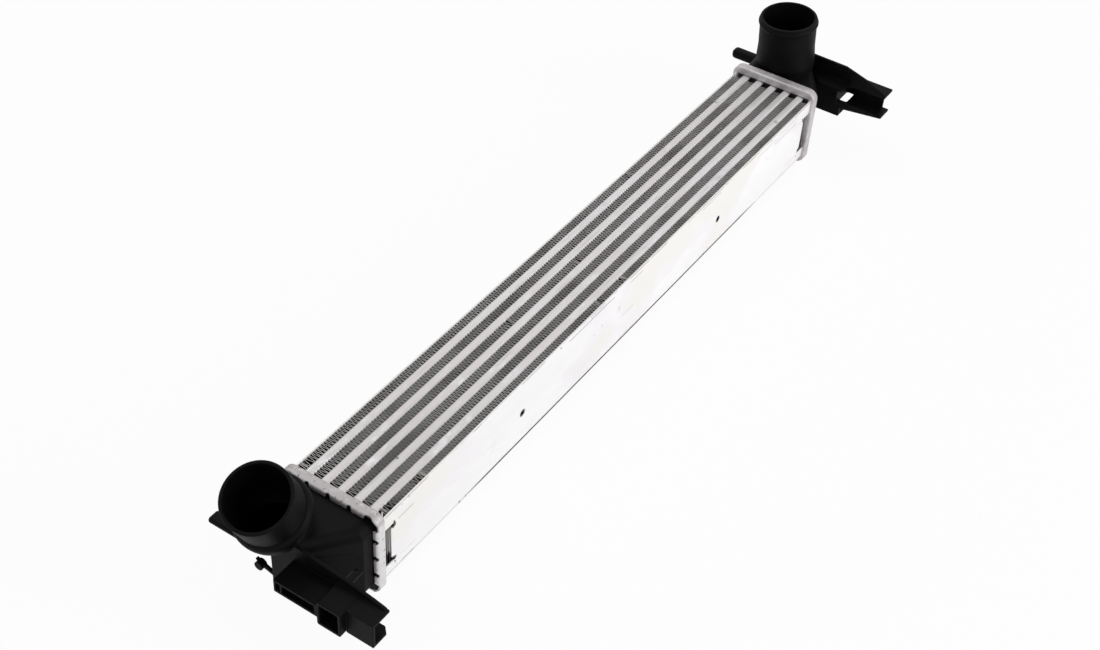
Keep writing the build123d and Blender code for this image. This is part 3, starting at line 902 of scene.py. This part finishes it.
def add_piece(
    name: str, vertices: Sequence[Point], faces: Sequence[Sequence[int]], finish: Finish
) -> bpy.types.Object:
    """Make a mesh object, put it in the scene and give it its finish.

    Args:
        name: Name of the object and of its mesh.
        vertices: Its points, in metres.
        faces: Its faces, as indices of points.
        finish: The finish to show.

    Returns:
        The new object.
    """
    mesh = bpy.data.meshes.new(name)
    mesh.from_pydata(vertices, [], faces)
    mesh.validate()
    mesh.update()
    piece = bpy.data.objects.new(name, mesh)
    bpy.context.scene.collection.objects.link(piece)
    mesh.materials.append(finish.make())
    return piece


@dataclass(frozen=True)
class Bend:
    """A place where the open edge of a fin strip was bent in handling, in metres."""

    at: float
    spread: float
    push: float

    def shift(self, x: float) -> float:
        """Shift of the open edge at one place along the core."""
        return self.push * math.exp(-(((x - self.at) / self.spread) ** 2))


@dataclass
class FinStrip:
    """One corrugated fin strip, with leaning legs and rounded crests.

    Its crests flare over the rounded edges of the tubes beside it. plate_sides names the side
    of each outer row where a side plate stands instead of a tube, so nothing flares there.
    The depths place the points of a leg, from either open face inwards.
    """

    row: int
    bends: Tuple[Bend, ...] = ()
    leg_pitch: float = 1.54 * MM
    lean: float = 0.50
    sheet: float = 0.26 * MM
    crest_steps: int = 2
    depths: Tuple[float, ...] = (0.0, 0.5 * MM, 1.3 * MM, 2.6 * MM)
    bend_power: int = 6
    tube_edge: float = TUBE_TOP * MM
    tube_corner: float = 2.6 * MM
    plate_sides: ClassVar[Dict[int, int]] = {1: -1, 6: 1}

    @property
    def node(self) -> str:
        """Name of the CAD node that this strip stands for."""
        return f"air_fin_{self.row}"

    def over_shoulder(self, z: float) -> float:
        """Room that the rounded edge of a tube leaves beside its flat flank.

        Args:
            z: Height in the core, in metres.

        Returns:
            Extra reach of a crest at that height, in metres.
        """
        above = abs(z) - (self.tube_edge - self.tube_corner)
        if above <= 0:
            return 0.0
        return self.tube_corner - math.sqrt(self.tube_corner**2 - above**2)

    def centre_line(self) -> List[Tuple[float, float]]:
        """Centre line of the folded sheet, seen from above.

        Returns:
            Points from one end of the strip to the other, in metres.
        """
        low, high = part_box(self.node)
        middle = (low.y + high.y) / 2
        swing = (high.y - low.y - self.sheet) / 2
        legs = round((high.x - low.x) / self.leg_pitch)
        pitch = (high.x - low.x - self.sheet) / legs
        radius = pitch * (0.5 - self.lean / 2)
        points: List[Tuple[float, float]] = []
        for leg in range(legs):
            side = 1 if leg % 2 else -1
            crest = low.x + self.sheet / 2 + leg * pitch
            for step in range(self.crest_steps + 1):
                turn = math.pi * (step / self.crest_steps - 0.5) if leg else 0.0
                x = crest + radius * math.sin(turn)
                y = middle + side * (swing - radius + radius * math.cos(turn))
                if leg or step == self.crest_steps:
                    points.append((x, y))
        side = 1 if legs % 2 else -1
        points.append((high.x - self.sheet / 2, middle + side * swing))
        return points

    def sheet_points(self, line: Sequence[Tuple[float, float]]) -> List[Point]:
        """Both skins of the sheet, in one column of points for each point of the line.

        Args:
            line: Centre line of the folded sheet.

        Returns:
            The points from low to high in each column, with the two skins in turn.
        """
        low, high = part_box(self.node)
        middle = (low.y + high.y) / 2
        swing = (high.y - low.y) / 2
        heights = [low.z + depth for depth in self.depths]
        heights += [high.z - depth for depth in reversed(self.depths)]
        points: List[Point] = []
        for index, (x, y) in enumerate(line):
            before = line[max(index - 1, 0)]
            after = line[min(index + 1, len(line) - 1)]
            run = Vector((after[0] - before[0], after[1] - before[1])).normalized()
            across = Vector((-run.y, run.x)) * (self.sheet / 2)
            side = 1 if y > middle else -1
            beside_plate = self.plate_sides.get(self.row) == side
            for z in heights:
                share = (z - low.z) / (high.z - low.z)
                shift = sum(bend.shift(x) * share**self.bend_power for bend in self.bends)
                room = 0.0 if beside_plate else self.over_shoulder(z)
                flare = room * (y - middle) / swing
                points.append((x + across.x + shift, y + across.y + flare, z))
                points.append((x - across.x + shift, y - across.y + flare, z))
        return points

    def sheet_faces(self, columns: int) -> List[Tuple[int, int, int, int]]:
        """Faces that close the sheet all round.

        Args:
            columns: Number of points of the centre line.

        Returns:
            The faces, as indices of the points of both skins.
        """
        column = 4 * len(self.depths)
        top = column - 2
        faces: List[Tuple[int, int, int, int]] = []
        for index in range(columns - 1):
            here, there = index * column, (index + 1) * column
            for k in range(0, top, 2):
                faces.append((here + k, here + k + 2, there + k + 2, there + k))
                faces.append((here + k + 1, there + k + 1, there + k + 3, here + k + 3))
            faces.append((here, there, there + 1, here + 1))
            faces.append((here + top, here + top + 1, there + top + 1, there + top))
        last = (columns - 1) * column
        for k in range(0, top, 2):
            faces.append((k, k + 1, k + 3, k + 2))
            faces.append((last + k, last + k + 2, last + k + 3, last + k + 1))
        return faces

    def build(self) -> bpy.types.Object:
        """Fold the sheet, raise it to the core's depth and dress it.

        Returns:
            The strip, riding on the body and standing for its node.
        """
        line = self.centre_line()
        points, faces = self.sheet_points(line), self.sheet_faces(len(line))
        strip = add_piece(f"fin_strip_{self.row}", points, faces, Metal.FIN.value)
        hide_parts(self.node)
        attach(strip, "root")
        return strip


@dataclass
class WindowTrim:
    """Short tab and folded rims in one window at the end of a side plate."""

    end: int
    side: int
    plate_face: float = PLATE_OUT * MM
    thickness: float = 1.0 * MM
    window_in: float = 315.0 * MM
    window_out: float = 327.5 * MM
    tab_width: float = 3.0 * MM
    tab: Span = (-17.2 * MM, 13.4 * MM)
    low_rim: Span = (-26.0 * MM, -21.6 * MM)
    high_rim: Span = (17.9 * MM, 20.0 * MM)
    corner: float = 1.2 * MM
    corner_steps: int = 4

    @property
    def name(self) -> str:
        """Name of the trim, by the end and the side of the core that it is on."""
        end = "left" if self.end < 0 else "right"
        side = "front" if self.side < 0 else "back"
        return f"window_trim_{end}_{side}"

    def rounded(self, width: float, low: float, high: float) -> List[Tuple[float, float]]:
        """Outline of a tab with its two free corners rounded.

        Args:
            width: How far it reaches from the window's inner edge.
            low: Its lower edge.
            high: Its upper edge.

        Returns:
            Points of reach and height, in metres.
        """
        points = [(0.0, low)]
        for step in range(self.corner_steps + 1):
            turn = math.pi / 2 * step / self.corner_steps
            reach = width - self.corner + self.corner * math.sin(turn)
            points.append((reach, low + self.corner - self.corner * math.cos(turn)))
        for step in range(self.corner_steps + 1):
            turn = math.pi / 2 * step / self.corner_steps
            reach = width - self.corner + self.corner * math.cos(turn)
            points.append((reach, high - self.corner + self.corner * math.sin(turn)))
        points.append((0.0, high))
        return points

    @staticmethod
    def square(width: float, low: float, high: float) -> List[Tuple[float, float]]:
        """Outline of a plain rim, from the same measures as a tab.

        Args:
            width: How far it reaches from the window's inner edge.
            low: Its lower edge.
            high: Its upper edge.

        Returns:
            Points of reach and height, in metres.
        """
        return [(0.0, low), (width, low), (width, high), (0.0, high)]

    def build(self) -> bpy.types.Object:
        """Cut the tab and the two rims out of sheet and dress them.

        Returns:
            The trim of one window, riding on the body.
        """
        across = self.window_out - self.window_in
        outlines = [
            self.rounded(self.tab_width, *self.tab),
            self.square(across, *self.low_rim),
            self.square(across, *self.high_rim),
        ]
        vertices: List[Point] = []
        faces: List[Sequence[int]] = []
        for outline in outlines:
            start, count = len(vertices), len(outline)
            for depth in (self.plate_face, self.plate_face - self.thickness):
                for reach, height in outline:
                    x = self.end * (self.window_in + reach)
                    vertices.append((x, self.side * depth, height))
            faces.append([start + k for k in range(count)])
            faces.append([start + count + k for k in reversed(range(count))])
            for k in range(count):
                after = (k + 1) % count
                faces.append([start + k, start + count + k, start + count + after, start + after])
        trim = add_piece(self.name, vertices, faces, Metal.PLATE.value)
        turned = bmesh.new()
        turned.from_mesh(trim.data)
        bmesh.ops.recalc_face_normals(turned, faces=turned.faces)
        turned.to_mesh(trim.data)
        turned.free()
        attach(trim, "root")
        return trim


@dataclass
class BentLeg:
    """Last leg of the front fin strip, bent over and lying towards the end of the side plate.

    It is swept as rings of four corners.
    """

    start: Point = (-320.8 * MM, -35.4 * MM, 30.9 * MM)
    finish: Point = (-325.8 * MM, -39.5 * MM, 31.6 * MM)
    width: float = 1.1 * MM
    taper: float = 0.30
    sheet: float = 0.24 * MM
    arch: float = 0.9 * MM
    steps: int = 8
    ring: ClassVar[int] = 4

    def build(self) -> bpy.types.Object:
        """Sweep the arched strip along its line and dress it.

        Returns:
            The leg, riding on the body.
        """
        start, finish = Vector(self.start), Vector(self.finish)
        run = (finish - start).normalized()
        across = Vector((-run.y, run.x, 0.0)).normalized()
        vertices: List[Point] = []
        for step in range(self.steps + 1):
            share = step / self.steps
            middle = start.lerp(finish, share)
            middle.z += self.arch * math.sin(math.pi * share)
            half = self.width / 2 * (1 - self.taper * share)
            for down in (0.0, self.sheet):
                for side in (-half, half):
                    corner = middle + across * side
                    vertices.append((corner.x, corner.y, corner.z - down))
        faces: List[Tuple[int, int, int, int]] = [(0, 1, 3, 2)]
        for k in range(0, self.ring * self.steps, self.ring):
            faces += [(k, k + 4, k + 5, k + 1), (k + 2, k + 3, k + 7, k + 6)]
            faces += [(k, k + 2, k + 6, k + 4), (k + 1, k + 5, k + 7, k + 3)]
        k = self.ring * self.steps
        faces.append((k, k + 2, k + 3, k + 1))
        leg = add_piece("bent_leg", vertices, faces, Metal.TURBULATOR.value)
        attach(leg, "root")
        return leg


@dataclass
class Core:
    """The brazed core: fins, charge tubes, turbulators and side plates."""

    rows: int = 6
    tubes: int = 5
    bends: ClassVar[Dict[int, Tuple[Bend, ...]]] = {
        1: (
            Bend(-0.3155, 0.0030, -0.0024),
            Bend(-0.2800, 0.0040, 0.0026),
            Bend(-0.0400, 0.0020, -0.0018),
            Bend(-0.0060, 0.0022, 0.0020),
        ),
        4: (Bend(-0.1050, 0.0016, 0.0014), Bend(-0.0075, 0.0016, -0.0014)),
        6: (Bend(-0.3160, 0.0026, -0.0022), Bend(0.1200, 0.0030, 0.0016)),
    }

    def build(self) -> None:
        """Build the fin strips and the small trim, and dress the CAD pieces of the core."""
        for row in range(1, self.rows + 1):
            strip = FinStrip(row, self.bends.get(row, ())).build()
            log.info("built %s", strip.name)
        for number in range(1, self.tubes + 1):
            dress(f"charge_tube_{number}", Metal.TUBE.value)
            dress(f"turbulator_{number}", Metal.TURBULATOR.value)
        for side in ("front", "back"):
            dress(f"side_plate_{side}", Metal.PLATE.value)
        leg = BentLeg().build()
        log.info("built %s", leg.name)
        for end in (-1, 1):
            for side in (-1, 1):
                trim = WindowTrim(end, side).build()
                log.info("built %s", trim.name)


@dataclass
class Ends:
    """Both ends of the cooler: header plate, gasket and moulded tank."""

    sides: Tuple[str, str] = ("left", "right")

    def build(self) -> None:
        """Dress the headers, gaskets and tanks."""
        plastic = MouldedPlastic("tank_moulding")
        rubber = GasketRubber("gasket_seal")
        for side in self.sides:
            dress(f"header_plate_{side}", Metal.HEADER.value)
            dress(f"header_gasket_{side}", rubber)
            dress(f"end_tank_{side}", plastic)


def dress(node: str, finish: Finish) -> None:
    """Give a CAD node its finish.

    Args:
        node: Name of the CAD node.
        finish: The finish to show.
    """
    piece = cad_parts[node]
    material = finish.make()
    if not piece.material_slots:
        piece.data.materials.append(material)
    for slot in piece.material_slots:
        slot.material = material
    log.info("dressed %s", node)


@dataclass(frozen=True)
class SoftBox:
    """A square soft box: where it hangs and its side, in metres, and its power, in watts."""

    name: str
    place: Point
    size: float
    power: float


@dataclass
class Studio:
    """White product studio: floor, soft boxes, world and camera."""

    floor_size: float = 12.0
    floor_name: str = "studio_floor"
    world_level: float = 0.40
    boxes: Tuple[SoftBox, ...] = (
        SoftBox("key_box", place=(0.4, -2.4, 1.0), size=1.6, power=38.0),
        SoftBox("side_box", place=(-2.0, -0.6, 1.4), size=1.2, power=4.0),
        SoftBox("back_box", place=(0.4, 1.6, 2.2), size=1.6, power=17.0),
    )
    camera_name: str = "photo_camera"
    camera_place: Point = (-0.90026, -0.51279, 0.87514)
    camera_turn: Point = (48.3158, -2.9228, -56.1603)
    lens: float = 52.5075
    sensor_width: float = 36.0
    nearest_seen: float = 0.01

    def build(self) -> None:
        """Set up the whole studio."""
        self.lay_floor()
        self.fill_world()
        for box in self.boxes:
            self.hang(box)
        self.aim_camera()
        view = bpy.context.scene.view_settings
        view.view_transform = "Standard"

    def lay_floor(self) -> None:
        """Lay the floor under the lowest point of the object."""
        low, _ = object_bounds()
        half = self.floor_size / 2
        spots = ((-half, -half), (half, -half), (half, half), (-half, half))
        corners = [(x, y, low[2]) for x, y in spots]
        white = PaleFloor("floor_white")
        floor = add_piece(self.floor_name, corners, [(0, 1, 2, 3)], white)
        floor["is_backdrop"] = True

    def fill_world(self) -> None:
        """Surround the studio with plain light, shown as white where it is seen."""
        world = bpy.data.worlds.new("studio_world")
        bpy.context.scene.world = world
        world.use_nodes = True
        sheet = Sheet(world.node_tree)
        strength = sheet.seen_plainly() * (1.0 - self.world_level) + self.world_level
        light = sheet.node("ShaderNodeBackground", inputs={"Color": WHITE, "Strength": strength})
        sheet.node("ShaderNodeOutputWorld", inputs={"Surface": light})

    def hang(self, box: SoftBox) -> None:
        """Hang a soft box, facing the middle of the core.

        Args:
            box: The soft box.
        """
        lamp = bpy.data.lights.new(box.name, "AREA")
        lamp.shape = "SQUARE"
        lamp.size = box.size
        lamp.energy = box.power
        hung = bpy.data.objects.new(box.name, lamp)
        hung.location = box.place
        hung.rotation_euler = (-Vector(box.place)).to_track_quat("-Z", "Y").to_euler()
        bpy.context.scene.collection.objects.link(hung)

    def aim_camera(self) -> None:
        """Stand the camera where the photograph was taken."""
        data = bpy.data.cameras.new(self.camera_name)
        data.lens = self.lens
        data.sensor_width = self.sensor_width
        data.sensor_fit = "HORIZONTAL"
        data.clip_start = self.nearest_seen
        camera = bpy.data.objects.new(self.camera_name, data)
        camera.location = self.camera_place
        camera.rotation_euler = Euler([math.radians(a) for a in self.camera_turn], "XYZ")
        bpy.context.scene.collection.objects.link(camera)
        bpy.context.scene.camera = camera


def main() -> None:
    """Build the cooler's looks piece by piece, then the studio."""
    Core().build()
    Ends().build()
    Studio().build()


if __name__ == "__main__":
    main()
